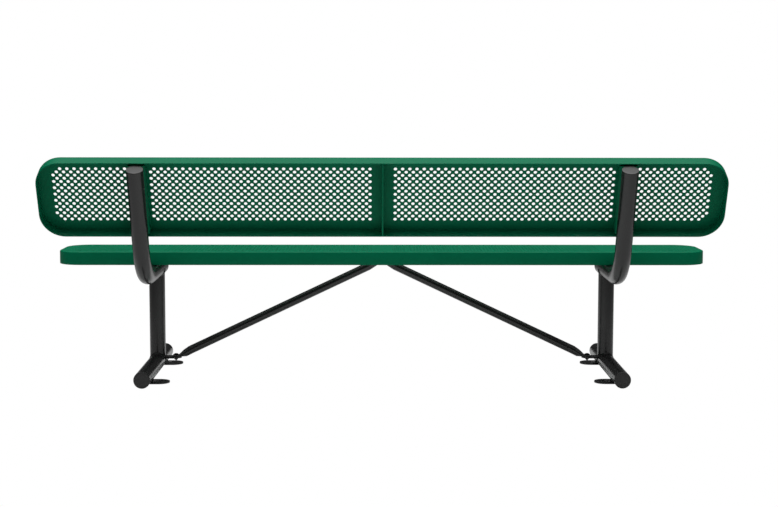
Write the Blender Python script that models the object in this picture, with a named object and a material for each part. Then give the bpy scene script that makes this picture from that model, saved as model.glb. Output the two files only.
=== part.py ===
"""Eight-foot park bench with a backrest: plastic-coated perforated planks on a bent tube frame.

Metres, +Z up. A sitter faces -Y, and +X is on the right of someone who looks at the bench from its front.
The origin is on the floor, under the middle of the bench. The planks are drawn without their perforation.
"""

import math

import bmesh
import bpy
from mathutils import Matrix, Vector

GAP = 0.0003  # left between pieces that touch

# The plank is one pan, used twice: face up as the seat and leaning as the back
PLANK_LENGTH = 2.442
PLANK_WIDTH = 0.296
PLANK_DEPTH = 0.050
PLANK_CORNER = 0.0889
SHEET = 0.004
BEND_RADIUS = 0.005

# Where the planks and the posts stand
POST_Y = -0.1749
SUPPORT_X = 0.8636
SEAT_HEIGHT = 0.464
BACK_LEAN = math.radians(24.9)
BACK_HEIGHT = 0.6985
BACK_SETBACK = 0.421  # from the posts to the middle of the back's face

# Frame tube, the same in the bent tubes, the posts and the feet
TUBE_RADIUS = 0.03015
TUBE_WALL = 0.003
FRAME_BEND_RADIUS = 0.200
UPRIGHT_TOP = 0.137  # above the middle of the back, along its slope
ARM_REACH = 0.115  # in front of the posts
FOOT_REAR = 0.450  # behind the posts
FOOT_FRONT = 0.230  # in front of the posts
CAP_THICKNESS = 0.003
CAP_PLUG = 0.012

# Stiffeners under the planks
CHANNEL_WIDTH = 0.060
CHANNEL_WALL = 0.004
RIB_THICKNESS = 0.006
STIFFENER_MARGIN = 0.011  # clear of the bend inside the flange

# Tabs, lugs and braces
PLATE = 0.006
TAB_WIDTH = 0.080
TAB_REACH = 0.085  # from the axis of the foot tube
TAB_INSET = 0.130  # from the end of the foot tube
ANCHOR_HOLE_RADIUS = 0.007
LUG_WIDTH = 0.050
LUG_REACH = 0.092
LUG_BOTTOM = 0.0395
BRACE_RADIUS = 0.0159
BRACE_TAB = 0.005
BRACE_TAB_WIDTH = 0.046
BRACE_RAMP = 0.023  # length of the lower edge, beyond the heel, that belongs to the squeezed end
BRACE_HEEL = 0.112  # from the post axis to where the lower edge turns up
BRACE_FOLD = 0.080  # from the post axis to where the upper edge turns up
BRACE_TAB_END = 0.058  # from the post axis to the tip of the lower tab
BRACE_BOLT = 0.070
BRACE_AIM = 0.008  # from the middle, where the line of the lower edge passes under the seat
BRACE_TOP_RAMP = 0.046
BRACE_KNEE = 0.0165  # from the rib and from the seat's underside to the bend of the lower edge
BRACE_TOP_FOLD = 0.038  # below the seat's face

# Fasteners
BOLT_RADIUS = 0.004
HOLE_RADIUS = 0.0045
BOLT_SPREAD = 0.060  # from the middle of a plank to each of its bolts
DOME_RADIUS = 0.009
DOME_HEIGHT = 0.0045
THREAD_END = 0.010  # of a plank bolt, inside the frame tube
HEX_ACROSS_FLATS = 0.013
HEAD_HEIGHT = 0.0053
NUT_HEIGHT = 0.0065

SIDES = {"left": -1, "right": 1}
SEAT_PLACE = Matrix.Translation((0, POST_Y, SEAT_HEIGHT))
BACK_PLACE = Matrix.Translation((0, POST_Y + BACK_SETBACK, BACK_HEIGHT)) @ Matrix.Rotation(
    math.pi / 2 - BACK_LEAN, 4, "X"
)
ARM_HEIGHT = SEAT_HEIGHT - PLANK_DEPTH - GAP - TUBE_RADIUS
LUG_TOP = LUG_BOTTOM + PLATE
BRACE_BOLT_X = SUPPORT_X - BRACE_BOLT
RIB_BOLT_HEIGHT = SEAT_HEIGHT - PLANK_DEPTH / 2


def clear_scene():
    for obj in list(bpy.data.objects):
        bpy.data.objects.remove(obj)


def material(name, colour, roughness, metallic):
    made = bpy.data.materials.new(name)
    made.use_nodes = True
    shader = made.node_tree.nodes["Principled BSDF"]
    shader.inputs["Base Color"].default_value = (*colour, 1)
    shader.inputs["Roughness"].default_value = roughness
    shader.inputs["Metallic"].default_value = metallic
    return made


def add_object(name, bm, finish, place=None):
    """Makes a named object of a bmesh, smooth except at its edges, and puts it in its place."""
    bmesh.ops.recalc_face_normals(bm, faces=bm.faces)
    mesh = bpy.data.meshes.new(name)
    bm.to_mesh(mesh)
    bm.free()
    mesh.shade_smooth()
    mesh.set_sharp_from_angle(angle=math.radians(35))
    mesh.materials.append(finish)
    obj = bpy.data.objects.new(name, mesh)
    obj.matrix_world = place or Matrix()
    bpy.context.collection.objects.link(obj)
    return obj


def subtract(obj, *cutters):
    for cutter in cutters:
        modifier = obj.modifiers.new(cutter.name, "BOOLEAN")
        modifier.operation = "DIFFERENCE"
        modifier.object = cutter


def add_rod(bm, radius, start, end, sides=24):
    """A cylinder from one point to another."""
    start, end = Vector(start), Vector(end)
    turn = (end - start).to_track_quat("Z", "X").to_matrix().to_4x4()
    bmesh.ops.create_cone(
        bm,
        cap_ends=True,
        segments=sides,
        radius1=radius,
        radius2=radius,
        depth=(end - start).length,
        matrix=Matrix.Translation((start + end) / 2) @ turn,
    )


def cutter(name, rods, sides=24):
    """A hidden object made of (radius, start, end) cylinders, to cut others with."""
    bm = bmesh.new()
    for radius, start, end in rods:
        add_rod(bm, radius, start, end, sides)
    obj = add_object(name, bm, None)
    obj.hide_render = True
    obj.display_type = "WIRE"
    return obj


def loft(rings, closed=False):
    """A skin over rings of points, each with the same count. Closed, it runs round from last to first."""
    bm = bmesh.new()
    loops = [[bm.verts.new(point) for point in ring] for ring in rings]
    if not closed:
        bm.faces.new(loops[0])
        bm.faces.new(loops[-1])
    followers = loops[1:] + loops[:1] if closed else loops[1:]
    for loop, after in zip(loops, followers):
        for i in range(len(loop)):
            bm.faces.new((loop[i - 1], loop[i], after[i], after[i - 1]))
    return bm


def circle(radius, height, points=24):
    angles = [2 * math.pi * i / points for i in range(points)]
    return [(radius * math.cos(a), radius * math.sin(a), height) for a in angles]


def hexagon(across_flats, height, points=24):
    """A hexagon drawn with as many points as a circle, so that the two can be lofted together."""
    ring = []
    for i in range(points):
        angle = 2 * math.pi * i / points
        from_flat = (angle + math.pi / 6) % (math.pi / 3) - math.pi / 6
        radius = across_flats / 2 / math.cos(from_flat)
        ring.append((radius * math.cos(angle), radius * math.sin(angle), height))
    return ring


def rounded_rectangle(length, width, radius, corner_points=8):
    points = []
    for quarter in range(4):
        start = quarter * math.pi / 2
        sign_x = 1 if quarter in (0, 3) else -1
        sign_y = 1 if quarter in (0, 1) else -1
        for i in range(corner_points + 1):
            angle = start + math.pi / 2 * i / corner_points
            x = sign_x * (length / 2 - radius) + radius * math.cos(angle)
            y = sign_y * (width / 2 - radius) + radius * math.sin(angle)
            points.append((x, y, 0))
    return points


def extruded(points, offset):
    """A solid with a flat outline, pushed along an offset."""
    bm = bmesh.new()
    face = bm.faces.new([bm.verts.new(point) for point in points])
    pushed = bmesh.ops.extrude_face_region(bm, geom=[face])["geom"]
    verts = [item for item in pushed if isinstance(item, bmesh.types.BMVert)]
    bmesh.ops.translate(bm, verts=verts, vec=offset)
    return bm


def add_plank(name, place, finish):
    """The pan: a flat face with its edge bent down all round. Its face is at z = 0 and its hollow below."""
    bm = extruded(rounded_rectangle(PLANK_LENGTH, PLANK_WIDTH, PLANK_CORNER), (0, 0, -PLANK_DEPTH))
    bm.faces.ensure_lookup_table()
    top, bottom = bm.faces[0], max(bm.faces, key=lambda f: -f.calc_center_median().z)
    bmesh.ops.bevel(
        bm,
        geom=list(top.edges),
        offset=BEND_RADIUS,
        offset_type="OFFSET",
        affect="EDGES",
        segments=3,
        profile=0.5,
        material=-1,
    )
    bmesh.ops.delete(bm, geom=[bottom], context="FACES")
    obj = add_object(name, bm, finish, place)
    wall = obj.modifiers.new("wall", "SOLIDIFY")
    wall.thickness = SHEET
    wall.offset = -1
    wall.use_even_offset = True


def add_channel(name, place, x, finish, holes):
    """A channel across the inside of a plank, its web level with the plank's rim."""
    half, wall = CHANNEL_WIDTH / 2, CHANNEL_WALL
    top, bottom = -SHEET - GAP, -PLANK_DEPTH
    length = PLANK_WIDTH - 2 * STIFFENER_MARGIN
    section = [
        (x - half, top),
        (x - half, bottom),
        (x + half, bottom),
        (x + half, top),
        (x + half - wall, top),
        (x + half - wall, bottom + wall),
        (x - half + wall, bottom + wall),
        (x - half + wall, top),
    ]
    bm = extruded([(px, -length / 2, pz) for px, pz in section], (0, length, 0))
    subtract(add_object(name, bm, finish, place), holes)


def add_rib(name, place, finish, holes):
    """A flat bar on edge across the middle of a plank, notched where the plank's edge is bent."""
    edge = PLANK_WIDTH / 2 - SHEET - GAP
    shoulder = PLANK_WIDTH / 2 - STIFFENER_MARGIN
    top, bottom = -SHEET - GAP, -PLANK_DEPTH
    side = [
        (-edge, bottom),
        (edge, bottom),
        (edge, -STIFFENER_MARGIN),
        (shoulder, top),
        (-shoulder, top),
        (-edge, -STIFFENER_MARGIN),
    ]
    bm = extruded([(-RIB_THICKNESS / 2, y, z) for y, z in side], (RIB_THICKNESS, 0, 0))
    subtract(add_object(name, bm, finish, place), holes)


def tube_end(points=24):
    """A bmesh holding the flat ring of a cut tube, round the origin in the plane z = 0."""
    bm = bmesh.new()
    edges = []
    for radius in (TUBE_RADIUS, TUBE_RADIUS - TUBE_WALL):
        made = bmesh.ops.create_circle(bm, segments=points, radius=radius)["verts"]
        edges += {edge for vert in made for edge in vert.link_edges}
    bmesh.ops.bridge_loops(bm, edges=edges)
    return bm


def push(bm, faces, offset):
    """Extrudes the open end of a tube and returns the faces of its new end."""
    moved = bmesh.ops.extrude_face_region(bm, geom=faces)["geom"]
    verts = [item for item in moved if isinstance(item, bmesh.types.BMVert)]
    bmesh.ops.translate(bm, verts=verts, vec=offset)
    return [item for item in moved if isinstance(item, bmesh.types.BMFace)]


def add_tube(name, start, end, finish):
    bm = tube_end()
    start, end = Vector(start), Vector(end)
    push(bm, bm.faces[:], (0, 0, (end - start).length))
    turn = (end - start).to_track_quat("Z", "X").to_matrix().to_4x4()
    return add_object(name, bm, finish, Matrix.Translation(start) @ turn)


def frame_points(x):
    """The top of the upright's axis, and where that axis would meet the arm's."""
    top = BACK_PLACE @ Vector((x, UPRIGHT_TOP, -PLANK_DEPTH - GAP - TUBE_RADIUS))
    along = Vector((0, -math.sin(BACK_LEAN), -math.cos(BACK_LEAN)))
    corner = top + along * ((top.z - ARM_HEIGHT) / math.cos(BACK_LEAN))
    return top, along, corner


def add_frame_tube(name, x, finish, holes):
    """One tube that comes down behind the back, bends forward and runs under the seat."""
    top, along, corner = frame_points(x)
    turn = math.pi / 2 - BACK_LEAN
    tangent = FRAME_BEND_RADIUS * math.tan(turn / 2)
    bm = tube_end()
    bmesh.ops.rotate(
        bm, verts=bm.verts, cent=(0, 0, 0), matrix=along.to_track_quat("Z", "X").to_matrix()
    )
    bmesh.ops.translate(bm, verts=bm.verts, vec=top)
    end = push(bm, bm.faces[:], along * ((corner - top).length - tangent))
    bend_start = corner - along * tangent
    inward = Vector((0, -math.cos(BACK_LEAN), math.sin(BACK_LEAN)))
    spun = bmesh.ops.spin(
        bm,
        geom=end,
        cent=bend_start + inward * FRAME_BEND_RADIUS,
        axis=(1, 0, 0),
        angle=-turn,
        steps=10,
    )["geom_last"]
    bend_end = [item for item in spun if isinstance(item, bmesh.types.BMFace)]
    reach = corner.y - tangent - (POST_Y - ARM_REACH)
    push(bm, bend_end, (0, -reach, 0))
    bmesh.ops.delete(bm, geom=end + bend_end, context="FACES_ONLY")  # left inside by the extrusions
    subtract(add_object(name, bm, finish), holes)


def add_cap(name, end, outward, finish):
    """A disc the size of the tube, with a plug that fits inside it."""
    plug = TUBE_RADIUS - TUBE_WALL - GAP
    edge = 0.001
    rings = [
        circle(plug, -CAP_PLUG),
        circle(plug, GAP),
        circle(TUBE_RADIUS, GAP),
        circle(TUBE_RADIUS, CAP_THICKNESS - edge),
        circle(TUBE_RADIUS - edge, CAP_THICKNESS),
    ]
    turn = Vector(outward).to_track_quat("Z", "X").to_matrix().to_4x4()
    add_object(name, loft(rings), finish, Matrix.Translation(end) @ turn)


def add_tab(name, side, y, bottom, width, reach, finish, cutters):
    """A flat plate with a round end, reaching from a foot tube towards the middle of the bench."""
    axis_x, radius = side * SUPPORT_X, width / 2
    points = [(axis_x - side * TUBE_RADIUS / 2, y - radius, bottom)]
    for i in range(13):
        angle = -math.pi / 2 + math.pi * i / 12
        x = axis_x - side * (reach - radius + radius * math.cos(angle))
        points.append((x, y + radius * math.sin(angle), bottom))
    points.append((axis_x - side * TUBE_RADIUS / 2, y + radius, bottom))
    subtract(add_object(name, extruded(points, (0, 0, PLATE)), finish), *cutters)


def brace_ring(lower, upper, half_width, points=20):
    """A section of the brace between its lower and its upper edge: round, or a flat oval in its ends."""
    centre, over = (lower + upper) / 2, (upper - lower) / 2
    fullness = 1 + 0.006 * max(0, 1 / over.length - 1 / BRACE_RADIUS)
    ring = []
    for i in range(points):
        angle = 2 * math.pi * i / points
        height = max(-1, min(1, fullness * math.sin(angle)))
        ring.append(centre + Vector((0, half_width * math.cos(angle), 0)) + over * height)
    return ring


def add_brace(name, side, finish, holes):
    """A round tube from the lug to the rib, its ends squeezed flat to lie on them."""
    bottom, rib_face = LUG_TOP + GAP, RIB_THICKNESS / 2 + GAP
    thickness = Vector((0, 0, BRACE_TAB))
    outward = Vector((BRACE_TAB, 0, 0))
    tip = Vector((SUPPORT_X - BRACE_TAB_END, 0, bottom))
    fold = Vector((SUPPORT_X - BRACE_FOLD, 0, bottom))
    heel = Vector((SUPPORT_X - BRACE_HEEL, 0, bottom))
    underside = SEAT_HEIGHT - PLANK_DEPTH
    knee = Vector((rib_face + BRACE_KNEE, 0, underside - BRACE_KNEE))
    top_fold = Vector((rib_face, 0, SEAT_HEIGHT - BRACE_TOP_FOLD))
    top = Vector((rib_face, 0, SEAT_HEIGHT - SHEET - STIFFENER_MARGIN))
    slope = (Vector((BRACE_AIM, 0, underside - BRACE_RADIUS)) - heel).normalized()
    over = 2 * BRACE_RADIUS * Vector((slope.z, 0, -slope.x))
    low_round = heel + slope * BRACE_RAMP
    high_round = heel + slope * ((heel.x - rib_face) / -slope.x - BRACE_TOP_RAMP)
    flat, full = BRACE_TAB_WIDTH / 2, BRACE_RADIUS
    rings = [
        brace_ring(tip, tip + thickness, flat),
        brace_ring(fold, fold + thickness, flat),
        brace_ring(heel, (fold + thickness).lerp(low_round + over, 0.5), (flat + full) / 2),
        brace_ring(low_round, low_round + over, full),
        brace_ring(high_round, high_round + over, full),
        brace_ring(knee, (top_fold + outward).lerp(high_round + over, 0.5), (flat + full) / 2),
        brace_ring(top_fold, top_fold + outward, flat),
        brace_ring(top, top + outward, flat),
    ]
    bm = loft([[(side * p.x, p.y + POST_Y, p.z) for p in ring] for ring in rings])
    subtract(add_object(name, bm, finish), holes)


def add_dome_bolt(name, place, finish):
    """A round-head bolt whose head stands on z = 0 and whose shank ends inside the frame tube."""
    shank = CHANNEL_WALL + TUBE_WALL + THREAD_END
    rings = [circle(BOLT_RADIUS, -shank, 16), circle(BOLT_RADIUS, GAP, 16)]
    for i in range(4):
        angle = math.pi / 2 * i / 4
        rings.append(circle(DOME_RADIUS * math.cos(angle), GAP + DOME_HEIGHT * math.sin(angle), 16))
    add_object(name, loft(rings), finish, place)


def add_hex_bolt(name, place, grip, finish):
    """A hexagon-head bolt: the head stands on z = 0 and the shank goes down through the grip."""
    shank = grip + NUT_HEIGHT + 0.003
    rings = [
        circle(BOLT_RADIUS - 0.001, -shank),
        circle(BOLT_RADIUS, -shank + 0.001),
        circle(BOLT_RADIUS, GAP),
        hexagon(HEX_ACROSS_FLATS, GAP),
        hexagon(HEX_ACROSS_FLATS, HEAD_HEIGHT - 0.001),
        circle(HEX_ACROSS_FLATS / 2 - 0.001, HEAD_HEIGHT),
    ]
    add_object(name, loft(rings), finish, place)


def add_nut(name, place, grip, finish):
    """A nut on the end of a hexagon-head bolt, GAP clear of its shank and of what it clamps."""
    top, bottom = -grip - GAP, -grip - NUT_HEIGHT
    rings = [
        circle(BOLT_RADIUS + GAP, bottom),
        hexagon(HEX_ACROSS_FLATS, bottom),
        hexagon(HEX_ACROSS_FLATS, top),
        circle(BOLT_RADIUS + GAP, top),
    ]
    add_object(name, loft(rings, closed=True), finish, place)


def plank_bolt_places():
    """The eight bolts between channels and frame tubes: (name, place). A head stands inside its channel."""
    for plank, place in (("seat", SEAT_PLACE), ("back", BACK_PLACE)):
        for side, sign in SIDES.items():
            for end, spread in (("a", BOLT_SPREAD), ("b", -BOLT_SPREAD)):
                spot = Matrix.Translation((sign * SUPPORT_X, spread, CHANNEL_WALL - PLANK_DEPTH))
                yield f"{plank}_bolt_{side}_{end}", place @ spot


def brace_bolt_places():
    """The three bolts of the braces: (name, place with the head's face at z = 0, grip)."""
    lug_grip = PLATE + BRACE_TAB + GAP
    for side, sign in SIDES.items():
        head = Matrix.Translation((sign * BRACE_BOLT_X, POST_Y, LUG_TOP + GAP + BRACE_TAB))
        yield f"lug_{side}", head, lug_grip
    rib_grip = RIB_THICKNESS + 2 * (BRACE_TAB + GAP)
    side_on = Matrix.Translation((rib_grip / 2, POST_Y, RIB_BOLT_HEIGHT))
    yield "rib", side_on @ Matrix.Rotation(math.pi / 2, 4, "Y"), rib_grip


def bolt_hole_rods():
    for _, place in plank_bolt_places():
        depth = CHANNEL_WALL + TUBE_RADIUS
        yield HOLE_RADIUS, place @ Vector((0, 0, 0.002)), place @ Vector((0, 0, -depth))
    for _, place, grip in brace_bolt_places():
        yield HOLE_RADIUS, place @ Vector((0, 0, 0.002)), place @ Vector((0, 0, -grip - 0.002))


def anchor_tab_places():
    """The four anchor tabs, two on each foot tube."""
    rear = POST_Y + FOOT_REAR - TAB_INSET
    front = POST_Y - FOOT_FRONT + TAB_INSET
    return [(side, end, y) for side in SIDES for end, y in (("rear", rear), ("front", front))]


clear_scene()
green = material("green_coating", (0.004, 0.115, 0.062), 0.35, 0.0)
black = material("black_powder_coat", (0.015, 0.015, 0.016), 0.3, 0.0)
dark_steel = material("dark_steel", (0.05, 0.05, 0.05), 0.4, 0.9)
black_plastic = material("black_plastic", (0.03, 0.03, 0.03), 0.5, 0.0)

bolt_holes = cutter("bolt_holes", bolt_hole_rods(), 16)

for plank, place in (("back", BACK_PLACE), ("seat", SEAT_PLACE)):
    add_plank(f"{plank}_panel", place, green)
    add_rib(f"{plank}_centre_rib", place, green, bolt_holes)
    for side, sign in SIDES.items():
        add_channel(f"{plank}_channel_{side}", place, sign * SUPPORT_X, green, bolt_holes)

for side, sign in SIDES.items():
    x = sign * SUPPORT_X
    foot_rear = Vector((x, POST_Y + FOOT_REAR - CAP_THICKNESS, TUBE_RADIUS))
    foot_front = Vector((x, POST_Y - FOOT_FRONT + CAP_THICKNESS, TUBE_RADIUS))
    arm_front = Vector((x, POST_Y - ARM_REACH, ARM_HEIGHT))
    upright_top, down, _ = frame_points(x)

    add_frame_tube(f"frame_tube_{side}", x, black, bolt_holes)
    add_cap(f"upright_cap_{side}", upright_top, -down, black_plastic)
    add_cap(f"arm_cap_{side}", arm_front, (0, -1, 0), black_plastic)

    add_tube(f"foot_tube_{side}", foot_front, foot_rear, black)
    add_cap(f"foot_cap_{side}_rear", foot_rear, (0, 1, 0), black_plastic)
    add_cap(f"foot_cap_{side}_front", foot_front, (0, -1, 0), black_plastic)

    coping = cutter(
        f"coping_{side}",
        [
            (TUBE_RADIUS + GAP, foot_front, foot_rear),
            (TUBE_RADIUS + GAP, arm_front, arm_front + Vector((0, 2 * ARM_REACH, 0))),
        ],
    )
    post_line = (x, POST_Y, TUBE_RADIUS), (x, POST_Y, ARM_HEIGHT)
    post = add_tube(f"post_{side}", *post_line, black)
    subtract(post, coping)

    post_clearance = cutter(f"post_clearance_{side}", [(TUBE_RADIUS + GAP, *post_line)])
    add_tab(
        f"brace_lug_{side}",
        sign,
        POST_Y,
        LUG_BOTTOM,
        LUG_WIDTH,
        LUG_REACH,
        black,
        (coping, post_clearance, bolt_holes),
    )
    for tab_side, end, y in anchor_tab_places():
        if tab_side == side:
            hole_x = sign * (SUPPORT_X - TAB_REACH + TAB_WIDTH / 2 - 0.010)
            hole = cutter(
                f"anchor_hole_{side}_{end}",
                [(ANCHOR_HOLE_RADIUS, (hole_x, y, -0.01), (hole_x, y, 0.02))],
                16,
            )
            name = f"anchor_tab_{side}_{end}"
            add_tab(name, sign, y, 0, TAB_WIDTH, TAB_REACH, black, (coping, hole))
    add_brace(f"brace_{side}", sign, black, bolt_holes)

for name, place in plank_bolt_places():
    add_dome_bolt(name, place, dark_steel)

for name, place, grip in brace_bolt_places():
    add_hex_bolt(f"{name}_bolt", place, grip, dark_steel)
    add_nut(f"{name}_nut", place, grip, dark_steel)
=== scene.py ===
"""Park bench with a backrest: two perforated, plastic-coated steel planks on a bent tube frame."""

import math

import bmesh
import bpy
from mathutils import Matrix, Vector


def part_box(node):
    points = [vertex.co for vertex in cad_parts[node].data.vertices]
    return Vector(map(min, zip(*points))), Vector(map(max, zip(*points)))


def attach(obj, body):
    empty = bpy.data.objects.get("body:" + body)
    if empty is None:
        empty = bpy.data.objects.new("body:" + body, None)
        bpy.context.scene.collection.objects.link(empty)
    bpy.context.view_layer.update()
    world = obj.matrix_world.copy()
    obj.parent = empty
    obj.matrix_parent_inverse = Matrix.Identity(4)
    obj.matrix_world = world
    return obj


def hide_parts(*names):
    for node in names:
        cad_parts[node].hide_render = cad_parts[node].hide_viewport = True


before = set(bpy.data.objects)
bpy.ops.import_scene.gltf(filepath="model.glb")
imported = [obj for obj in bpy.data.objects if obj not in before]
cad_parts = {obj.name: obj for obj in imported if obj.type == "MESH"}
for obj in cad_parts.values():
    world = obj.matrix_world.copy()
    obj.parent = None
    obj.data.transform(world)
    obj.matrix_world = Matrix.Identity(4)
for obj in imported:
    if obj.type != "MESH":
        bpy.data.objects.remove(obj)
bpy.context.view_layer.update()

# ---------------------------------------------------------------------------------------------
# The seat and back planks. Each is one pan of punched sheet steel, pressed down all round into
# a flange with rounded corners, then dipped hot in green plastic powder, which melts into a
# thick glossy skin and rounds the rim of every hole. The same pan serves as seat and as back.

seat_low, seat_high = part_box("seat_panel")
post_low, post_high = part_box("post_right")
SUPPORT_X = (post_low.x + post_high.x) / 2
POST_Y = (post_low.y + post_high.y) / 2

PLANK_LENGTH = seat_high.x - seat_low.x
PLANK_WIDTH = seat_high.y - seat_low.y
PLANK_DEPTH = seat_high.z - seat_low.z
PLANK_CORNER = 0.0889
SHEET = 0.004  # steel and plastic together
BEND_RADIUS = 0.005
RIM_RADIUS = 0.0017
BACK_LEAN = math.radians(24.9)
BACK_HEIGHT = 0.6985
BACK_SETBACK = 0.421  # from the posts to the middle of the back's face

SEAT_PLACE = Matrix.Translation((0, POST_Y, seat_high.z))
BACK_PLACE = Matrix.Translation((0, POST_Y + BACK_SETBACK, BACK_HEIGHT)) @ Matrix.Rotation(
    math.pi / 2 - BACK_LEAN, 4, "X"
)

HOLE_PITCH = 0.0254  # along a row; rows are half of it apart, and every other row is shifted by half
HOLE_RADIUS = 0.0061
HOLE_SIDES = 12
HOLE_ROWS = 17
INNER_FIELD = (0.0450, 31)  # |x| of the first hole, and the holes in a row
OUTER_FIELD = (0.9110, 11)


class Wire:
    """A shader socket that Python's operators act on, so that a finish reads as an expression."""

    def __init__(self, tree, socket=None):
        self.tree = tree
        self.socket = socket

    def node(self, kind, settings=None, sockets=None, output=0):
        """Adds a node, sets it up, feeds its sockets with values or wires, and returns an output."""
        made = self.tree.nodes.new("ShaderNode" + kind)
        for name, value in (settings or {}).items():
            setattr(made, name, value)
        for name, value in (sockets or {}).items():
            if isinstance(value, Wire):
                self.tree.links.new(value.socket, made.inputs[name])
            else:
                made.inputs[name].default_value = value
        return Wire(self.tree, made.outputs[output])

    def maths(self, operation, other):
        return self.node("Math", {"operation": operation}, {0: self, 1: other})

    def __add__(self, other):
        return self.maths("ADD", other)

    def __mul__(self, other):
        return self.maths("MULTIPLY", other)

    def __rsub__(self, other):
        return self.node("Math", {"operation": "SUBTRACT"}, {0: other, 1: self})

    __radd__ = __add__
    __rmul__ = __mul__

    def noise(self, scale, detail=2.0, stretch=(1, 1, 1)):
        """Smooth random patches, about 1/scale metres across, fixed to the piece."""
        place = self.node("TexCoord", output="Object")
        turned = self.node("Mapping", {}, {"Vector": place, "Scale": stretch})
        return self.node("TexNoise", {}, {"Vector": turned, "Scale": scale, "Detail": detail})

    def blend(self, amount, colour_a, colour_b):
        sockets = {0: amount, 6: (*colour_a, 1), 7: (*colour_b, 1)}
        return self.node("Mix", {"data_type": "RGBA"}, sockets, output=2)

    def feed(self, shader, socket):
        self.tree.links.new(self.socket, shader.inputs[socket])


def new_finish(name, **values):
    """A material with a Principled shader: (material, a wire to build patterns from, the shader)."""
    made = bpy.data.materials.new(name)
    made.use_nodes = True
    shader = made.node_tree.nodes["Principled BSDF"]
    for socket, value in values.items():
        shader.inputs[socket.replace("_", " ")].default_value = value
    return made, Wire(made.node_tree), shader


def green_coating():
    """Glossy plastic skin: faintly wavy, a little uneven in colour and in shine."""
    made, wire, shader = new_finish("green_plastic_coating", IOR=1.5, Specular_IOR_Level=0.05)
    patches = wire.noise(5.0, 3.0)
    cloud = wire.noise(38.0, 2.0)
    wire.blend(patches, (0.0004, 0.142, 0.064), (0.001, 0.166, 0.079)).feed(shader, "Base Color")
    (0.26 + 0.10 * cloud).feed(shader, "Roughness")
    waves = wire.noise(60.0, 1.0) * 0.7 + wire.noise(300.0, 1.0) * 0.3
    skin = wire.node("Bump", {}, {"Height": waves, "Strength": 0.05, "Distance": 0.0008})
    skin.feed(shader, "Normal")
    return made


def round_off(bm, edges, radius, segments):
    return bmesh.ops.bevel(
        bm,
        geom=list(edges),
        offset=radius,
        offset_type="OFFSET",
        affect="EDGES",
        segments=segments,
        profile=0.5,
        material=-1,
    )


def edges_of(verts):
    return {edge for vert in verts for edge in vert.link_edges}


def ring(bm, sides, radius, height):
    """A loop of edges round the z axis."""
    placed = Matrix.Translation((0, 0, height))
    return edges_of(bmesh.ops.create_circle(bm, segments=sides, radius=radius, matrix=placed)["verts"])


def hole_wall(bm, profile, sides):
    """The wall of a hole through the sheet, from (radius, depth) pairs. Returns its first and last ring."""
    rings = [ring(bm, sides, radius, -depth) for radius, depth in profile]
    for upper, lower in zip(rings, rings[1:]):
        bmesh.ops.bridge_loops(bm, edges=list(upper | lower))
    return rings[0], rings[-1]


def hole_stamp():
    """A diamond of sheet with one hole in it. Diamonds set side by side make the perforated field."""
    bm = bmesh.new()
    lip, roll = 0.0009, 0.00045
    profile = [
        (HOLE_RADIUS + lip, 0),
        (HOLE_RADIUS + lip / 6, roll),
        (HOLE_RADIUS, SHEET / 2),
        (HOLE_RADIUS + lip / 6, SHEET - roll),
        (HOLE_RADIUS + lip, SHEET),
    ]
    upper, lower = hole_wall(bm, profile, HOLE_SIDES)
    for inside, height in ((upper, 0), (lower, -SHEET)):
        diamond = ring(bm, 4, HOLE_PITCH / 2, height)
        bmesh.ops.triangle_fill(bm, edges=list(inside | diamond), use_beauty=True, normal=(0, 0, 1))
    stamp = bpy.data.meshes.new("hole_stamp")
    bm.to_mesh(stamp)
    bm.free()
    return stamp


def hole_centres():
    """Staggered rows, in a field on each side of the middle and a short one beyond each support."""
    last = HOLE_ROWS // 2
    for row in range(-last, last + 1):
        shift = HOLE_PITCH / 2 if row % 2 else 0
        shortened = row % 2 or abs(row) == last
        for (start, count), short in ((INNER_FIELD, 0), (OUTER_FIELD, 1 if shortened else 0)):
            for i in range(count - short):
                for side in (-1, 1):
                    yield Vector((side * (start + shift + i * HOLE_PITCH), row * HOLE_PITCH / 2, 0))


def press(bm, stamp, centres):
    """Sets a copy of the stamp at each centre."""
    at = Vector((0, 0, 0))
    for centre in centres:
        stamp.transform(Matrix.Translation(centre - at))
        bm.from_mesh(stamp)
        at = centre


def pressed_pan():
    """The flanged sheet without its flat face: the outside at its full size, the face at z = 0."""
    bm = bmesh.new()
    size = Matrix.Diagonal((PLANK_LENGTH, PLANK_WIDTH, PLANK_DEPTH, 1))
    bmesh.ops.create_cube(bm, size=1, matrix=Matrix.Translation((0, 0, -PLANK_DEPTH / 2)) @ size)
    upright = [e for e in bm.edges if abs(e.verts[0].co.z - e.verts[1].co.z) > PLANK_DEPTH / 2]
    round_off(bm, upright, PLANK_CORNER, 16)
    face = max(bm.faces, key=lambda f: f.calc_center_median().z)
    round_off(bm, face.edges, BEND_RADIUS, 6)
    open_side = min(bm.faces, key=lambda f: f.calc_center_median().z)
    bmesh.ops.delete(bm, geom=[open_side], context="FACES")
    bmesh.ops.solidify(bm, geom=bm.faces[:], thickness=SHEET)
    bm.normal_update()
    low = [e for e in bm.edges if max(v.co.z for v in e.verts) < SHEET - PLANK_DEPTH]
    rim = [e for e in low if sum(abs(f.normal.z) > 0.9 for f in e.link_faces) == 1]
    round_off(bm, rim, RIM_RADIUS, 3)
    flats = [f for f in bm.faces if f.calc_area() > PLANK_LENGTH * PLANK_WIDTH / 2]
    bmesh.ops.delete(bm, geom=flats, context="FACES")
    return bm


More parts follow.
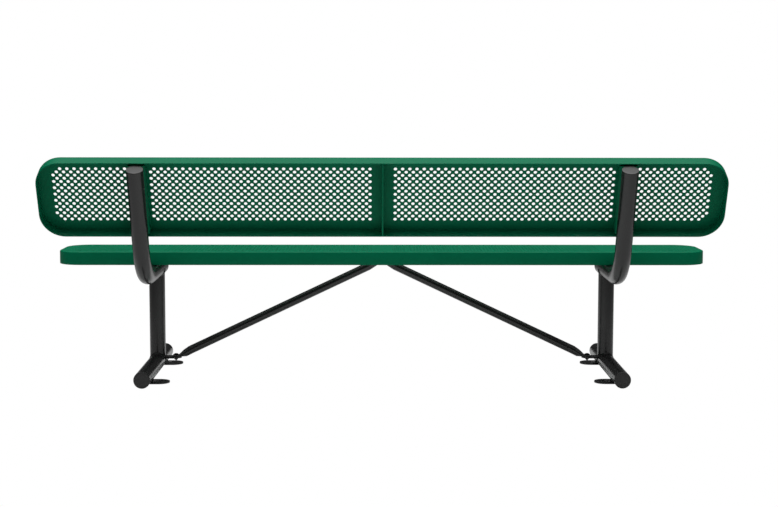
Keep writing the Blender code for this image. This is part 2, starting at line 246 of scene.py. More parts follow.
def perforated_pan():
    bm = pressed_pan()
    press(bm, hole_stamp(), hole_centres())
    bmesh.ops.remove_doubles(bm, verts=bm.verts, dist=0.00002)
    for height in (0, -SHEET):
        edges = [e for e in bm.edges if e.is_boundary and abs(e.verts[0].co.z - height) < SHEET / 4]
        bmesh.ops.triangle_fill(bm, edges=edges, use_beauty=True, normal=(0, 0, 1))
    return bm


def piece(name, bm, finish, slot, *stands_for, crease=40):
    """Makes a piece of a bmesh: smooth except at edges sharper than the crease, in degrees."""
    bmesh.ops.recalc_face_normals(bm, faces=bm.faces)
    mesh = bpy.data.meshes.new(name)
    bm.to_mesh(mesh)
    bm.free()
    mesh.shade_smooth()
    mesh.set_sharp_from_angle(angle=math.radians(crease))
    mesh.materials.append(finish)
    obj = bpy.data.objects.new(name, mesh)
    bpy.context.collection.objects.link(obj)
    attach(obj, "root")
    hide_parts(*stands_for)
    return obj


green = green_coating()
PLANK_PLACES = {"seat": SEAT_PLACE, "back": BACK_PLACE}
SIDES = {"left": -1, "right": 1}

for plank, place in PLANK_PLACES.items():
    bm = perforated_pan()
    bmesh.ops.transform(bm, matrix=place, verts=bm.verts)
    piece(f"{plank}_plank", bm, green, "green_coated_steel", f"{plank}_panel", crease=60)

# ---------------------------------------------------------------------------------------------
# The stiffeners inside the planks: a folded channel over each support, which the frame bolts
# to, and a flat bar on edge across the middle. They are stitch-welded to the pan before it is
# dipped, so the coating runs over them and over their welds.

CHANNEL_WIDTH = 0.060
CHANNEL_WALL = 0.004
CHANNEL_BEND = 0.006
RIB_THICKNESS = 0.006
STIFFENER_MARGIN = 0.011
GAP = 0.0003  # left between pieces that touch
BEAD_RADIUS = 0.0028
DROP_LENGTH = 0.0045  # of weld laid at each pulse
CHANNEL_STITCHES = (-0.095, 0, 0.095)  # middles of the welds along a channel's edge
CHANNEL_STITCH = 0.030
RIB_STITCHES = (-0.105, -0.035, 0.035, 0.105)
RIB_STITCH = 0.026
RIB_END_WELD = (0.018, 0.040)  # from and to, below the pan's face
RIB_EDGE = 0.0012


def weld_bead(bm, line, radius=BEAD_RADIUS):
    """A run of weld along a line of points: it swells once for every drop, and its ends are closed."""
    loops = []
    travelled = 0
    for i, point in enumerate(line):
        ahead, behind = line[min(i + 1, len(line) - 1)], line[max(i - 1, 0)]
        travelled += (point - behind).length if i else 0
        swell = 0.88 + 0.16 * abs(math.sin(math.pi * travelled / DROP_LENGTH))
        turn = (ahead - behind).to_track_quat("Z", "X").to_matrix().to_4x4()
        size = radius * swell * (0.5 if i in (0, len(line) - 1) else 1)
        verts = bmesh.ops.create_circle(
            bm, segments=8, radius=size, matrix=Matrix.Translation(point) @ turn
        )["verts"]
        loops.append(list(edges_of(verts)))
    for loop, after in zip(loops, loops[1:]):
        bmesh.ops.bridge_loops(bm, edges=loop + after)
    for end in (loops[0], loops[-1]):
        bmesh.ops.contextual_create(bm, geom=end)


def straight(start, end, step=DROP_LENGTH / 3):
    """Points from start to end, close enough together for a weld's drops to show."""
    start, end = Vector(start), Vector(end)
    count = max(2, round((end - start).length / step))
    return [start.lerp(end, i / count) for i in range(count + 1)]


def stitch(bm, x, y, z, length):
    """A short weld along Y with its middle at a point."""
    weld_bead(bm, straight((x, y - length / 2, z), (x, y + length / 2, z)))


def channel(x):
    """A U-shaped channel across the pan's hollow, its web level with the pan's rim."""
    bm = bmesh.new()
    top, bottom = -SHEET - GAP, -PLANK_DEPTH
    length = PLANK_WIDTH - 2 * STIFFENER_MARGIN
    middle = Matrix.Translation((x, 0, (top + bottom) / 2))
    size = Matrix.Diagonal((CHANNEL_WIDTH, length, top - bottom, 1))
    bmesh.ops.create_cube(bm, size=1, matrix=middle @ size)
    folds = [e for e in bm.edges if all(v.co.z < bottom + GAP for v in e.verts)]
    folds = [e for e in folds if abs(e.verts[0].co.y - e.verts[1].co.y) > length / 2]
    round_off(bm, folds, CHANNEL_BEND, 5)
    bm.normal_update()
    open_faces = [f for f in bm.faces if f.normal.z > 0.9 or abs(f.normal.y) > 0.9]
    bmesh.ops.delete(bm, geom=open_faces, context="FACES")
    bmesh.ops.solidify(bm, geom=bm.faces[:], thickness=CHANNEL_WALL)
    for side in (-1, 1):
        foot = x + side * (CHANNEL_WIDTH / 2 + GAP)
        for along in CHANNEL_STITCHES:
            stitch(bm, foot, along, top, CHANNEL_STITCH)
    return bm


def centre_rib():
    """A flat bar on edge, notched where the pan's edge is bent, with welds at its foot and its ends."""
    bm = bmesh.new()
    edge = PLANK_WIDTH / 2 - SHEET - GAP
    top, bottom = -SHEET - GAP, -PLANK_DEPTH + GAP
    size = Matrix.Diagonal((RIB_THICKNESS, 2 * edge, top - bottom, 1))
    bmesh.ops.create_cube(bm, size=1, matrix=Matrix.Translation((0, 0, (top + bottom) / 2)) @ size)
    notches = [e for e in bm.edges if all(v.co.z > top - GAP for v in e.verts)]
    notches = [e for e in notches if abs(e.verts[0].co.x - e.verts[1].co.x) > RIB_THICKNESS / 2]
    round_off(bm, notches, STIFFENER_MARGIN - SHEET, 1)
    round_off(bm, [e for e in bm.edges if all(v.co.z < bottom + GAP for v in e.verts)], RIB_EDGE, 2)
    for side in (-1, 1):
        foot = side * RIB_THICKNESS / 2
        for along in RIB_STITCHES:
            stitch(bm, foot, along, top, RIB_STITCH)
        for end in (-edge, edge):
            weld_bead(bm, straight(*((foot, end, -depth) for depth in RIB_END_WELD)))
    return bm


for plank, place in PLANK_PLACES.items():
    bm = centre_rib()
    bmesh.ops.transform(bm, matrix=place, verts=bm.verts)
    piece(f"{plank}_rib", bm, green, "green_coated_steel", f"{plank}_centre_rib")
    for side, sign in SIDES.items():
        bm = channel(sign * SUPPORT_X)
        bmesh.ops.transform(bm, matrix=place, verts=bm.verts)
        name = f"{plank}_channel_{side}"
        piece(f"{name}_folded", bm, green, "green_coated_steel", name)

# ---------------------------------------------------------------------------------------------
# The two frame tubes. Each is one length of round steel tube that comes down behind the back,
# turns forward in one bend and runs on under the seat. The whole frame is powder coated black
# after welding, which gives it a hard gloss with a very fine orange peel.

TUBE_RADIUS = (post_high.x - post_low.x) / 2
TUBE_WALL = 0.003
TUBE_SIDES = 56
FRAME_BEND_RADIUS = 0.200
UPRIGHT_TOP = 0.137  # above the middle of the back, along its slope
CAP_THICKNESS = 0.003
arm_cap_low, arm_cap_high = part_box("arm_cap_right")
ARM_HEIGHT = (arm_cap_low.z + arm_cap_high.z) / 2
ARM_FRONT = arm_cap_low.y + CAP_THICKNESS


def black_powder_coat():
    made, wire, shader = new_finish("black_powder_coat", IOR=1.5)
    patches = wire.noise(7.0, 3.0)
    wire.blend(patches, (0.0080, 0.0082, 0.0084), (0.0125, 0.0127, 0.0129)).feed(shader, "Base Color")
    (0.19 + 0.12 * wire.noise(30.0, 3.0)).feed(shader, "Roughness")
    peel = wire.noise(700.0, 1.0) * 0.5 + wire.noise(160.0, 1.0) * 0.5
    skin = wire.node("Bump", {}, {"Height": peel, "Strength": 0.05, "Distance": 0.0005})
    skin.feed(shader, "Normal")
    return made


def cut_end():
    """The flat ring of a cut tube, round the origin in the plane z = 0."""
    bm = bmesh.new()
    rings = ring(bm, TUBE_SIDES, TUBE_RADIUS, 0) | ring(bm, TUBE_SIDES, TUBE_RADIUS - TUBE_WALL, 0)
    bmesh.ops.bridge_loops(bm, edges=list(rings))
    return bm


def drawn_out(bm, end, offset, steps=1):
    """Draws the end of a tube out along an offset and returns the faces of its new end."""
    for _ in range(steps):
        moved = bmesh.ops.extrude_face_region(bm, geom=end)["geom"]
        verts = [item for item in moved if isinstance(item, bmesh.types.BMVert)]
        bmesh.ops.translate(bm, verts=verts, vec=Vector(offset) / steps)
        end = [item for item in moved if isinstance(item, bmesh.types.BMFace)]
    return end


def upright_line(x):
    """The top of the upright's axis, its direction down, and where it would meet the arm's axis."""
    top = BACK_PLACE @ Vector((x, UPRIGHT_TOP, -PLANK_DEPTH - GAP - TUBE_RADIUS))
    down = Vector((0, -math.sin(BACK_LEAN), -math.cos(BACK_LEAN)))
    corner = top + down * ((top.z - ARM_HEIGHT) / math.cos(BACK_LEAN))
    return top, down, corner


def frame_tube(x):
    top, down, corner = upright_line(x)
    turn = math.pi / 2 - BACK_LEAN
    tangent = FRAME_BEND_RADIUS * math.tan(turn / 2)
    bm = cut_end()
    facing = down.to_track_quat("Z", "X").to_matrix().to_4x4()
    bmesh.ops.transform(bm, matrix=Matrix.Translation(top) @ facing, verts=bm.verts)
    bend_start = drawn_out(bm, bm.faces[:], down * ((corner - top).length - tangent))
    inward = Vector((0, -math.cos(BACK_LEAN), math.sin(BACK_LEAN)))
    spun = bmesh.ops.spin(
        bm,
        geom=bend_start,
        cent=corner - down * tangent + inward * FRAME_BEND_RADIUS,
        axis=(1, 0, 0),
        angle=-turn,
        steps=24,
    )["geom_last"]
    bend_end = [item for item in spun if isinstance(item, bmesh.types.BMFace)]
    drawn_out(bm, bend_end, (0, ARM_FRONT - (corner.y - tangent), 0))
    bmesh.ops.delete(bm, geom=bend_start + bend_end, context="FACES_ONLY")
    return bm


black = black_powder_coat()

for side, sign in SIDES.items():
    name = f"frame_tube_{side}"
    piece(f"{name}_bent", frame_tube(sign * SUPPORT_X), black, "black_coated_steel", name)

# ---------------------------------------------------------------------------------------------
# The posts and the foot tubes, cut from the same tube. A post's ends are coped to saddle the
# arm above and the foot below, and a weld runs round each saddle.

foot_low, foot_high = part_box("foot_tube_right")
FOOT_REAR, FOOT_FRONT = foot_high.y, foot_low.y
SADDLE_BEAD = 0.0034
SADDLE_POINTS = 128


def saddle(post_x, axis_z, way):
    """The line where a post meets the outside of a level tube: way is 1 on its top and -1 beneath it."""
    points = []
    for i in range(SADDLE_POINTS + 1):
        angle = 2 * math.pi * i / SADDLE_POINTS
        x, y = TUBE_RADIUS * math.cos(angle), TUBE_RADIUS * math.sin(angle)
        points.append(Vector((post_x + x, POST_Y + y, axis_z + way * abs(y))))
    return points


def post(x):
    bm = cut_end()
    height = ARM_HEIGHT - TUBE_RADIUS
    drawn_out(bm, bm.faces[:], (0, 0, height))
    for vert in bm.verts:
        depth = math.sqrt(max(0, TUBE_RADIUS**2 - vert.co.x**2))
        vert.co.z += depth if vert.co.z < height / 2 else -depth
    bmesh.ops.translate(bm, verts=bm.verts, vec=(x, POST_Y, TUBE_RADIUS))
    weld_bead(bm, saddle(x, TUBE_RADIUS, 1), SADDLE_BEAD)
    weld_bead(bm, saddle(x, ARM_HEIGHT, -1), SADDLE_BEAD)
    return bm


def foot_tube(x):
    bm = cut_end()
    drawn_out(bm, bm.faces[:], (0, 0, FOOT_REAR - FOOT_FRONT))
    lying = Matrix.Translation((x, FOOT_FRONT, TUBE_RADIUS)) @ Matrix.Rotation(-math.pi / 2, 4, "X")
    bmesh.ops.transform(bm, matrix=lying, verts=bm.verts)
    return bm


for side, sign in SIDES.items():
    x = sign * SUPPORT_X
    piece(f"post_{side}_coped", post(x), black, "black_coated_steel", f"post_{side}")
    piece(f"foot_{side}", foot_tube(x), black, "black_coated_steel", f"foot_tube_{side}")

# ---------------------------------------------------------------------------------------------
# The end caps: injection-moulded black plastic plugs, tapped into every open tube end. The disc
# is as wide as the tube, slightly crowned with a soft edge, and a plain plug behind it fits inside.

CAP_EDGE = 0.0011
CAP_CROWN = 0.0004
CAP_SLOPE = 0.35 * TUBE_RADIUS  # width of the sloping band round the crown
CAP_PLUG = 0.012


def moulded_plastic():
    made, wire, shader = new_finish("moulded_black_plastic", IOR=1.46)
    patches = wire.noise(25.0, 2.0)
    wire.blend(patches, (0.016, 0.016, 0.016), (0.022, 0.022, 0.022)).feed(shader, "Base Color")
    (0.36 + 0.10 * wire.noise(60.0, 3.0)).feed(shader, "Roughness")
    grain = wire.noise(1500.0, 2.0)
    skin = wire.node("Bump", {}, {"Height": grain, "Strength": 0.10, "Distance": 0.0003})
    skin.feed(shader, "Normal")
    return made


def cap(end, outward):
    """A plug for a tube whose cut end is at a point and faces outward."""
    bm = bmesh.new()
    bmesh.ops.create_circle(bm, cap_ends=True, segments=TUBE_SIDES, radius=TUBE_RADIUS)
    disc = bm.faces[:]
    drawn_out(bm, disc, (0, 0, CAP_THICKNESS - CAP_CROWN - GAP))
    outer = max(bm.faces, key=lambda f: f.calc_center_median().z)
    round_off(bm, outer.edges, CAP_EDGE, 4)
    outer = max(bm.faces, key=lambda f: f.calc_center_median().z)
    crowned = bmesh.ops.inset_region(bm, faces=[outer], thickness=CAP_SLOPE)["faces"]
    raised = [f for f in bm.faces if len(f.verts) > 4 and f.calc_center_median().z > 0]
    centre = next(f for f in raised if f not in crowned)
    bmesh.ops.translate(bm, verts=centre.verts, vec=(0, 0, CAP_CROWN))
    inner = min(bm.faces, key=lambda f: f.calc_center_median().z)
    bmesh.ops.inset_region(bm, faces=[inner], thickness=TUBE_WALL + GAP)
    drawn_out(bm, [inner], (0, 0, -CAP_PLUG))
    facing = Vector(outward).to_track_quat("Z", "X").to_matrix().to_4x4()
    seated = Matrix.Translation(Vector(end)) @ facing @ Matrix.Translation((0, 0, GAP))
    bmesh.ops.transform(bm, matrix=seated, verts=bm.verts)
    return bm


plastic = moulded_plastic()

for side, sign in SIDES.items():
    x = sign * SUPPORT_X
    upright_top, down, _ = upright_line(x)
    ends = {
        f"upright_cap_{side}": (upright_top, -down),
        f"arm_cap_{side}": ((x, ARM_FRONT, ARM_HEIGHT), (0, -1, 0)),
        f"foot_cap_{side}_rear": ((x, FOOT_REAR, TUBE_RADIUS), (0, 1, 0)),
        f"foot_cap_{side}_front": ((x, FOOT_FRONT, TUBE_RADIUS), (0, -1, 0)),
    }
    for name, (end, outward) in ends.items():
        piece(f"{name}_plug", cap(end, outward), plastic, "end_cap_plastic", name)

# ---------------------------------------------------------------------------------------------
# The anchor tabs and the brace lugs: flat bar with a round end and one punched hole, welded to
# the inner side of the feet. The tabs lie on the ground, where a masonry anchor holds each down.
# A lug stands at the foot of each post and carries the lower end of a brace.

PLATE = 0.006
PLATE_EDGE = 0.0008
TAB_WIDTH = 0.080
TAB_REACH = 0.085  # from the axis of the foot tube
TAB_START = 0.015  # under the foot tube, from its axis
TAB_HOLE = TAB_REACH - TAB_WIDTH / 2 + 0.010
TAB_HOLE_RADIUS = 0.007
TAB_WELD = 0.0185  # from the axis, where the tube's side meets the tab's top
TAB_WELD_INSET = 0.004
LUG_WIDTH = 0.050
LUG_START = 0.024
LUG_REACH = 0.092
LUG_WELD_INSET = 0.003
LUG_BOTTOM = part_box("brace_lug_right")[0].z
BRACE_BOLT = 0.070  # from the post axis
BRACE_HOLE_RADIUS = 0.0045


def lug_plate(start, reach, width, hole_reach, hole_radius):
    """Flat bar along +X from start to reach, its far end round, pierced by one hole, its bottom at z = 0."""
    bm = bmesh.new()
    length = reach - start
    size = Matrix.Diagonal((length, width, PLATE, 1))
    bmesh.ops.create_cube(bm, size=1, matrix=Matrix.Translation((start + length / 2, 0, PLATE / 2)) @ size)
    corners = [e for e in bm.edges if all(v.co.x > reach - GAP for v in e.verts)]
    corners = [e for e in corners if abs(e.verts[0].co.z - e.verts[1].co.z) > PLATE / 2]
    round_off(bm, corners, width / 2 - GAP, 14)
    bm.normal_update()
    faces = [f for f in bm.faces if abs(f.normal.z) > 0.9]
    bmesh.ops.delete(bm, geom=faces, context="FACES")
    wall = bmesh.ops.create_cone(
        bm,
        segments=32,
        radius1=hole_radius,
        radius2=hole_radius,
        depth=PLATE,
        matrix=Matrix.Translation((hole_reach, 0, PLATE / 2)),
    )["verts"]
    bmesh.ops.remove_doubles(bm, verts=[v for v in bm.verts if v not in wall], dist=0.00002)
    for height in (0, PLATE):
        edges = [e for e in bm.edges if e.is_boundary and abs(e.verts[0].co.z - height) < PLATE / 4]
        edges = [e for e in edges if abs(e.verts[1].co.z - height) < PLATE / 4]
        bmesh.ops.triangle_fill(bm, edges=edges, use_beauty=True, normal=(0, 0, 1))
    bmesh.ops.recalc_face_normals(bm, faces=bm.faces)
    sharp = [e for e in bm.edges if len(e.link_faces) == 2 and e.calc_face_angle(0) > 1]
    round_off(bm, sharp, PLATE_EDGE, 2)
    return bm


for side, sign in SIDES.items():
    x = sign * SUPPORT_X
    inward = Matrix.Rotation(math.pi, 4, "Z") if sign > 0 else Matrix()
    for end in ("rear", "front"):
        name = f"anchor_tab_{side}_{end}"
        low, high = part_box(name)
        tab = lug_plate(TAB_START, TAB_REACH, TAB_WIDTH, TAB_HOLE, TAB_HOLE_RADIUS)
        stitch(tab, TAB_WELD, 0, PLATE, TAB_WIDTH - 2 * TAB_WELD_INSET)
        placed = Matrix.Translation((x, (low.y + high.y) / 2, 0)) @ inward
        bmesh.ops.transform(tab, matrix=placed, verts=tab.verts)
        piece(f"{name}_plate", tab, black, "black_coated_steel", name)
    lug = lug_plate(LUG_START, LUG_REACH, LUG_WIDTH, BRACE_BOLT, BRACE_HOLE_RADIUS)
    lug_weld = math.sqrt(TUBE_RADIUS**2 - (LUG_BOTTOM + PLATE - TUBE_RADIUS) ** 2)
    stitch(lug, lug_weld, 0, PLATE, LUG_WIDTH - 2 * LUG_WELD_INSET)
    bmesh.ops.transform(lug, matrix=Matrix.Translation((x, POST_Y, LUG_BOTTOM)) @ inward, verts=lug.verts)
    piece(f"brace_lug_{side}_plate", lug, black, "black_coated_steel", f"brace_lug_{side}")

# ---------------------------------------------------------------------------------------------
# The two diagonal braces. Each is a round tube whose ends are pressed flat in a die and bent:
# the lower one lies on its lug, the upper one stands against the centre rib under the seat.

BRACE_RADIUS = 0.0159
BRACE_TAB = 0.005
BRACE_TAB_WIDTH = 0.046
BRACE_RAMP = 0.023  # length of the lower edge, beyond the heel, that belongs to the pressed end
BRACE_HEEL = 0.112  # from the post axis to where the lower edge turns up
BRACE_FOLD = 0.080  # from the post axis to where the upper edge turns up
BRACE_TAB_END = 0.058  # from the post axis to the tip of the lower tab
BRACE_AIM = 0.008  # from the middle, where the line of the lower edge passes under the seat
BRACE_TOP_RAMP = 0.046
BRACE_KNEE = 0.0165  # from the rib and from the seat's underside to the bend of the lower edge
BRACE_TOP_FOLD = 0.038  # below the seat's face
BRACE_SIDES = 40
PRESSED_STATIONS = 12
PRESSED_FULLNESS = 0.006  # how much blunter than an oval a section gets as it is pressed thinner
LOW_SWELL = Vector((0.001, 0, 0.002))  # of the upper edge, halfway along the pressed end
TOP_SWELL = Vector((0.002, 0, 0.003))


def brace_ring(bm, lower, upper, half_width):
    """A section of the brace between its lower and its upper edge: round, or pressed flat in its ends."""
    across, over = Vector((0, half_width, 0)), (upper - lower) / 2
    fullness = 1 + PRESSED_FULLNESS * max(0, 1 / over.length - 1 / BRACE_RADIUS)
    axes = Matrix((across, over, across.cross(over))).transposed().to_4x4()
    verts = bmesh.ops.create_circle(bm, segments=BRACE_SIDES, radius=1)["verts"]
    for vert in verts:
        vert.co.y = max(-1, min(1, vert.co.y * fullness))
    bmesh.ops.transform(bm, matrix=Matrix.Translation((lower + upper) / 2) @ axes, verts=verts)
    return list(edges_of(verts))


def pressed_end(lower_path, upper_path, flat_first):
    """Stations of an end that is pressed flat: its edges follow two paths, each of start, middle and end."""
    stations = []
    for i in range(PRESSED_STATIONS + 1):
        share = i / PRESSED_STATIONS
        half = int(share > 0.5)
        lower = lower_path[half].lerp(lower_path[half + 1], 2 * share - half)
        upper = upper_path[half].lerp(upper_path[half + 1], 2 * share - half)
        press = (1 - share if flat_first else share) ** 1.3
        stations.append((lower, upper, BRACE_RADIUS + (BRACE_TAB_WIDTH / 2 - BRACE_RADIUS) * press))
    return stations


def brace(sign):
    bottom, rib_face = LUG_BOTTOM + PLATE + GAP, RIB_THICKNESS / 2 + GAP
    thickness, outward = Vector((0, 0, BRACE_TAB)), Vector((BRACE_TAB, 0, 0))
    flat = BRACE_TAB_WIDTH / 2
    tip = Vector((SUPPORT_X - BRACE_TAB_END, 0, bottom))
    fold = Vector((SUPPORT_X - BRACE_FOLD, 0, bottom))
    heel = Vector((SUPPORT_X - BRACE_HEEL, 0, bottom))
    knee = Vector((rib_face + BRACE_KNEE, 0, seat_low.z - BRACE_KNEE))
    top_fold = Vector((rib_face, 0, seat_high.z - BRACE_TOP_FOLD))
    top = Vector((rib_face, 0, seat_high.z - SHEET - STIFFENER_MARGIN))
    slope = (Vector((BRACE_AIM, 0, seat_low.z - BRACE_RADIUS)) - heel).normalized()
    over = 2 * BRACE_RADIUS * Vector((slope.z, 0, -slope.x))
    low_round = heel + slope * BRACE_RAMP
    high_round = heel + slope * ((heel.x - rib_face) / -slope.x - BRACE_TOP_RAMP)
    crown = (fold + thickness).lerp(low_round + over, 0.5) + LOW_SWELL
    high_crown = (top_fold + outward).lerp(high_round + over, 0.5) + TOP_SWELL
    stations = [(tip, tip + thickness, flat)]
    stations += pressed_end((fold, heel, low_round), (fold + thickness, crown, low_round + over), True)
    stations += pressed_end(
        (high_round, knee, top_fold),
        (high_round + over, high_crown, top_fold + outward),
        False,
    )
    stations.append((top, top + outward, flat))
    bm = bmesh.new()
    loops = [brace_ring(bm, *station) for station in stations]
    for loop, after in zip(loops, loops[1:]):
        bmesh.ops.bridge_loops(bm, edges=loop + after)
    for end in (loops[0], loops[-1]):
        bmesh.ops.contextual_create(bm, geom=end)
    bmesh.ops.scale(bm, vec=(sign, 1, 1), verts=bm.verts)
    bmesh.ops.translate(bm, vec=(0, POST_Y, 0), verts=bm.verts)
    return bm


for side, sign in SIDES.items():
    piece(f"brace_{side}_tube", brace(sign), black, "black_coated_steel", f"brace_{side}")

# ---------------------------------------------------------------------------------------------
# The fasteners: round-head bolts held inside the channels, which pass into the frame tubes, and
# hexagon bolts with washers and nuts on the braces. All are steel with a dark plating.

BOLT_SPREAD = 0.060  # from the middle of a plank to each of its bolts
BOLT_RADIUS = 0.004
DOME_RADIUS = 0.009
DOME_HEIGHT = 0.0045
THREAD_END = 0.010  # of a plank bolt, inside the frame tube
HEX_ACROSS_FLATS = 0.013
HEAD_HEIGHT = 0.0053
NUT_HEIGHT = 0.0065
WASHER_RADIUS = 0.008
WASHER_THICKNESS = 0.0012
HEX_CHAMFER = 0.0009
THREAD_PITCH = 0.00125
THREAD_DEPTH = 0.45 * THREAD_PITCH
THREAD_PROUD = 0.003  # beyond the nut
THREAD_TIP = 0.0006


def dark_plating():
    made, wire, shader = new_finish("dark_plated_steel", Metallic=0.9)
    patches = wire.noise(120.0, 3.0)
    wire.blend(patches, (0.030, 0.030, 0.032), (0.060, 0.059, 0.058)).feed(shader, "Base Color")
    (0.30 + 0.16 * wire.noise(300.0, 3.0)).feed(shader, "Roughness")
    return made


def dome_bolt():
    """A smooth domed head standing on z = 0, and a shank that ends inside the frame tube."""
    bm = bmesh.new()
    bmesh.ops.create_uvsphere(bm, u_segments=32, v_segments=16, radius=1)
    lower = [v for v in bm.verts if v.co.z < -0.01]
    bmesh.ops.delete(bm, geom=lower, context="VERTS")
    bmesh.ops.scale(bm, vec=(DOME_RADIUS, DOME_RADIUS, DOME_HEIGHT), verts=bm.verts)
    edge = [e for e in bm.edges if e.is_boundary]
    base = bmesh.ops.contextual_create(bm, geom=edge)["faces"]
    bmesh.ops.inset_region(bm, faces=base, thickness=DOME_RADIUS - BOLT_RADIUS)
    bmesh.ops.translate(bm, verts=bm.verts, vec=(0, 0, GAP))
    drawn_out(bm, base, (0, 0, -CHANNEL_WALL - TUBE_WALL - THREAD_END))
    return bm


def threaded_shank(bm, start, end):
    """Ridges one thread pitch apart, spun from a saw-toothed line."""
    ridges = round((start - end) / THREAD_PITCH * 2)
    previous = bm.verts.new((0, 0, start))
    line = []
    for i in range(ridges + 1):
        radius = BOLT_RADIUS - (THREAD_DEPTH if i % 2 else 0)
        vert = bm.verts.new((radius, 0, start + (end - start) * i / ridges))
        line.append(bm.edges.new((previous, vert)))
        previous = vert
    line.append(bm.edges.new((previous, bm.verts.new((0, 0, end - THREAD_TIP)))))
    bmesh.ops.spin(bm, geom=line, cent=(0, 0, 0), axis=(0, 0, 1), angle=2 * math.pi, steps=20, use_merge=True)


def hexagon(bm, bottom, height, chamfer):
    """A hexagon-shaped block with its upper corners turned off."""
    rounded = Matrix.Translation((0, 0, bottom))
    radius = HEX_ACROSS_FLATS / math.sqrt(3)
    verts = bmesh.ops.create_circle(bm, cap_ends=True, segments=6, radius=radius, matrix=rounded)["verts"]
    top = drawn_out(bm, list(verts[0].link_faces), (0, 0, height))
    round_off(bm, top[0].edges, chamfer, 2)


def washer(bm, bottom):
    size = {"radius1": WASHER_RADIUS, "radius2": WASHER_RADIUS, "depth": WASHER_THICKNESS}
    middle = Matrix.Translation((0, 0, bottom + WASHER_THICKNESS / 2))
    bmesh.ops.create_cone(bm, cap_ends=True, segments=36, matrix=middle, **size)


def hex_bolt(grip):
    """The head stands on z = 0 over a washer, and the shank goes down through the grip."""
    bm = bmesh.new()
    washer(bm, GAP)
    hexagon(bm, WASHER_THICKNESS + GAP, HEAD_HEIGHT - WASHER_THICKNESS - GAP, HEX_CHAMFER)
    threaded_shank(bm, GAP, -grip - NUT_HEIGHT - THREAD_PROUD)
    return bm


def nut(grip):
    bm = bmesh.new()
    hexagon(bm, -grip - NUT_HEIGHT, NUT_HEIGHT - WASHER_THICKNESS - GAP, HEX_CHAMFER)
    washer(bm, -grip - WASHER_THICKNESS - GAP)
    return bm


plating = dark_plating()

for plank, place in PLANK_PLACES.items():
    for side, sign in SIDES.items():
        for end, spread in (("a", BOLT_SPREAD), ("b", -BOLT_SPREAD)):
            bm = dome_bolt()
            web = Matrix.Translation((sign * SUPPORT_X, spread, CHANNEL_WALL - PLANK_DEPTH))
            bmesh.ops.transform(bm, matrix=place @ web, verts=bm.verts)
            name = f"{plank}_bolt_{side}_{end}"
            piece(f"{name}_dome", bm, plating, "fastener_steel", name)

lug_grip = PLATE + BRACE_TAB + GAP
rib_grip = RIB_THICKNESS + 2 * (BRACE_TAB + GAP)
rib_bolt_height = (seat_low.z + seat_high.z) / 2
brace_bolts = {
    f"lug_{side}": (
        Matrix.Translation((sign * (SUPPORT_X - BRACE_BOLT), POST_Y, LUG_BOTTOM + lug_grip)),
        lug_grip,
    )
    for side, sign in SIDES.items()
}
brace_bolts["rib"] = (
    Matrix.Translation((rib_grip / 2, POST_Y, rib_bolt_height)) @ Matrix.Rotation(math.pi / 2, 4, "Y"),
    rib_grip,
)
for name, (place, grip) in brace_bolts.items():
    for kind, bm in (("bolt", hex_bolt(grip)), ("nut", nut(grip))):
        bmesh.ops.transform(bm, matrix=place, verts=bm.verts)
        piece(f"{name}_{kind}_steel", bm, plating, "fastener_steel", f"{name}_{kind}")

# ---------------------------------------------------------------------------------------------
# The studio: a floor that runs out of sight and a white surround, both plain white to the camera.
# In reflections and bounce light the floor carries a painted pool of light, bright round the bench
# and darker further out. The light comes softly from overhead and fades to a dark horizon, which
# keeps the coatings' colours deep. The camera stands behind the bench, at a sitter's eye height,
# with a long lens.

FLOOR_SIZE = 400
FLOOR_IN_PAINTED_LIGHT = 0.9
FLOOR_OUTSIDE_PAINTED_LIGHT = 0.10
FLOOR_FADE = 3.6  # metres from the bench over which the floor gets darker in reflections
OVERHEAD = 5.2
OVERHEAD_FOCUS = 6  # the higher, the nearer to straight above the light comes from
HORIZON = 0.03
CAMERA_DISTANCE = 6.2124  # behind the posts
CAMERA_X = 0.0326
CAMERA_HEIGHT = 1.0627
CAMERA_PITCH = math.radians(5.693)
CAMERA_HEADING = math.radians(0.550)
CAMERA_ROLL = math.radians(-0.078)
SENSOR_WIDTH = 36
LENS = 75.24

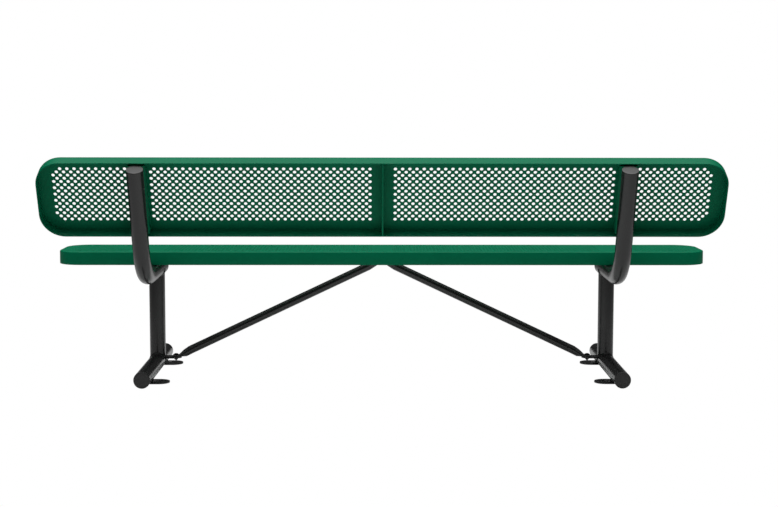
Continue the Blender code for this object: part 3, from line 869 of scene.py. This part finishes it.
floor_finish, wire, shader = new_finish("white_floor", Roughness=0.8)
spot = wire.node("TexCoord", output="Object")
distance = wire.node("VectorMath", {"operation": "LENGTH"}, {0: spot}, output="Value")
# Painted pool of light: the floor's colour is bright at the bench and fades to dark further out, seen only in
# reflections and bounce light
painted_light_pool = wire.node("Math", {"operation": "SUBTRACT", "use_clamp": True}, {0: 1, 1: distance * (1 / FLOOR_FADE)})
wire.blend(painted_light_pool, (FLOOR_OUTSIDE_PAINTED_LIGHT,) * 3, (FLOOR_IN_PAINTED_LIGHT,) * 3).feed(shader, "Base Color")
seen = wire.node("LightPath", output="Is Camera Ray")
paper = wire.node("Emission", {}, {"Color": (1, 1, 1, 1), "Strength": 1.0}, output="Emission")
both = wire.node("MixShader", {}, {0: seen, 1: Wire(wire.tree, shader.outputs["BSDF"]), 2: paper}, output=0)
both.feed(wire.tree.nodes["Material Output"], "Surface")
bm = bmesh.new()
bmesh.ops.create_grid(bm, x_segments=1, y_segments=1, size=FLOOR_SIZE / 2)
bmesh.ops.translate(bm, verts=bm.verts, vec=(0, 0, -GAP))
floor_mesh = bpy.data.meshes.new("floor")
bm.to_mesh(floor_mesh)
bm.free()
floor_mesh.materials.append(floor_finish)
floor = bpy.data.objects.new("floor", floor_mesh)
bpy.context.collection.objects.link(floor)

world = bpy.data.worlds.new("white_surround")
world.use_nodes = True
sky = Wire(world.node_tree)
direction = sky.node("TexCoord", output="Generated")
height = sky.node("SeparateXYZ", {}, {"Vector": direction}, output="Z").maths("MAXIMUM", 0)
light = HORIZON + OVERHEAD * height.maths("POWER", OVERHEAD_FOCUS)
seen = sky.node("LightPath", output="Is Camera Ray")
background = world.node_tree.nodes["Background"]
background.inputs["Color"].default_value = (1, 1, 1, 1)
(seen + (1 - seen) * light).feed(background, "Strength")
bpy.context.scene.world = world

camera = bpy.data.cameras.new("camera")
camera.sensor_width = SENSOR_WIDTH
camera.lens = LENS
eye = bpy.data.objects.new("camera", camera)
eye.rotation_mode = "QUATERNION"
eye.location = (CAMERA_X, POST_Y + CAMERA_DISTANCE, CAMERA_HEIGHT)
looking = Vector(
    (
        -math.sin(CAMERA_HEADING) * math.cos(CAMERA_PITCH),
        -math.cos(CAMERA_HEADING) * math.cos(CAMERA_PITCH),
        -math.sin(CAMERA_PITCH),
    )
)
rolled = Matrix.Rotation(CAMERA_ROLL, 3, looking).to_quaternion()
eye.rotation_quaternion = rolled @ looking.to_track_quat("-Z", "Y")
bpy.context.collection.objects.link(eye)
bpy.context.scene.camera = eye
bpy.context.scene.view_settings.view_transform = "Standard"
